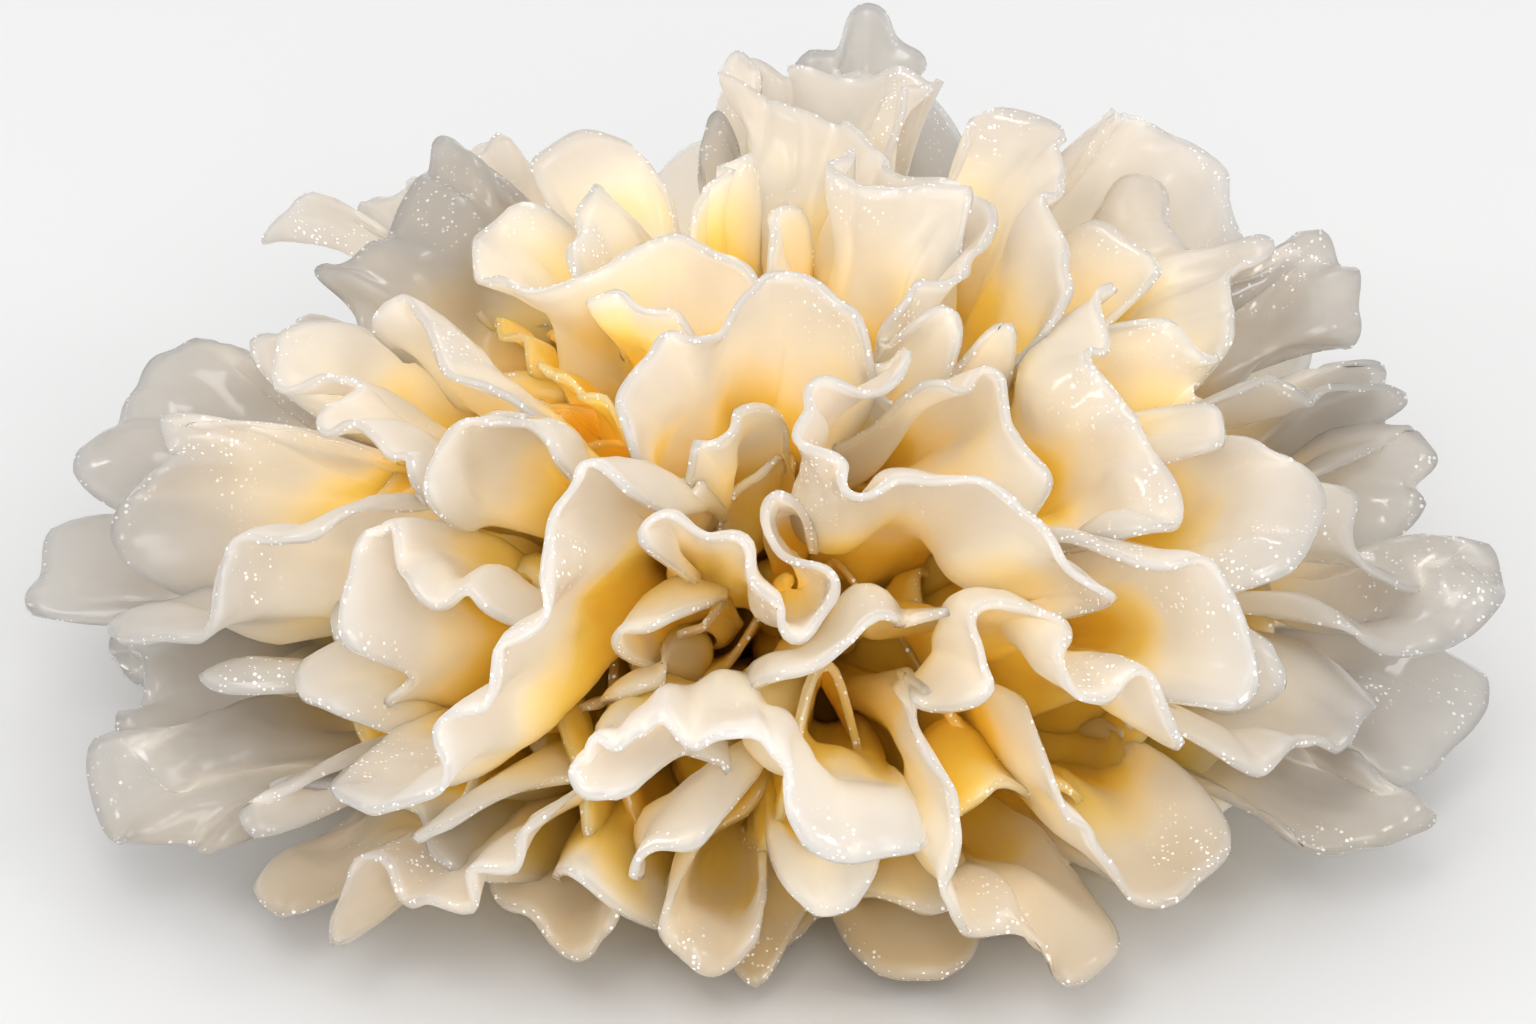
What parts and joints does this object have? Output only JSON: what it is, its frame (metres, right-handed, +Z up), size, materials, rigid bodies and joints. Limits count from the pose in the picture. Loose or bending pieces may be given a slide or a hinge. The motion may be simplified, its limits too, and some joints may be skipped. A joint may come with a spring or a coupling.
{
  "type": "snow fungus",
  "caption": "Low dome of thin, wet, ruffled translucent fronds growing from one central foot with a flat cut underneath.",
  "frame": {"origin": "centre of the flat cut under the foot", "axes": "+Z up out of the cut through the dome; -Y towards the side the picture shows; +X to that side's right"},
  "size_m": [0.1226, 0.1214, 0.0456],
  "materials": {
    "frond_flesh": "wet translucent cream gel, amber deep in",
    "outer_flesh": "wet translucent grey-white gel",
    "foot_flesh": "damp amber flesh, matt where it was cut"
  },
  "bodies": {
    "root": {"back_band": "frond_flesh", "back_bowl": "frond_flesh", "back_diagonal": "frond_flesh", "back_fan": "frond_flesh", "back_grey_lobe": "frond_flesh", "back_hem": "frond_flesh", "back_loop": "frond_flesh", "back_peak": "frond_flesh", "back_ribbon": "frond_flesh", "back_ridge": "frond_flesh", "back_skirt": "frond_flesh", "back_tongue": "frond_flesh", "back_wave": "frond_flesh", "back_worm": "frond_flesh", "big_band": "frond_flesh", "bottom_hook": "frond_flesh", "bottom_lobe": "frond_flesh", "centre_right": "frond_flesh", "crest_column": "frond_flesh", "crest_cup": "frond_flesh", "crest_left_lobe": "outer_flesh", "crest_top": "outer_flesh", "curl": "frond_flesh", "diagonal_ribbon": "frond_flesh", "ear_peak": "outer_flesh", "finger_wave": "frond_flesh", "foot": "foot_flesh", "front_loop": "frond_flesh", "inner_curl": "frond_flesh", "left_back_lobe": "outer_flesh", "left_cup": "frond_flesh", "left_fan": "frond_flesh", "left_far_lobe": "outer_flesh", "left_low_lobe": "outer_flesh", "left_mid_lobe": "outer_flesh", "left_wing": "frond_flesh", "long_ribbon": "frond_flesh", "low_left_band": "frond_flesh", "low_left_lobe": "frond_flesh", "low_right_cup": "frond_flesh", "low_right_ridge": "frond_flesh", "panel": "frond_flesh", "right_column": "frond_flesh", "right_edge_lobe": "outer_flesh", "right_edge_low": "outer_flesh", "right_fan": "frond_flesh", "right_grey_lobe": "outer_flesh", "right_low": "outer_flesh", "right_peak": "outer_flesh", "right_shoulder": "frond_flesh", "right_skirt": "frond_flesh", "right_tongue": "frond_flesh", "right_wave": "frond_flesh", "serpent": "frond_flesh", "side_cup": "frond_flesh", "side_ridge": "frond_flesh", "under_peak": "frond_flesh", "upper_cup": "frond_flesh", "white_peak": "frond_flesh", "worm": "frond_flesh"}
  },
  "joints": []
}
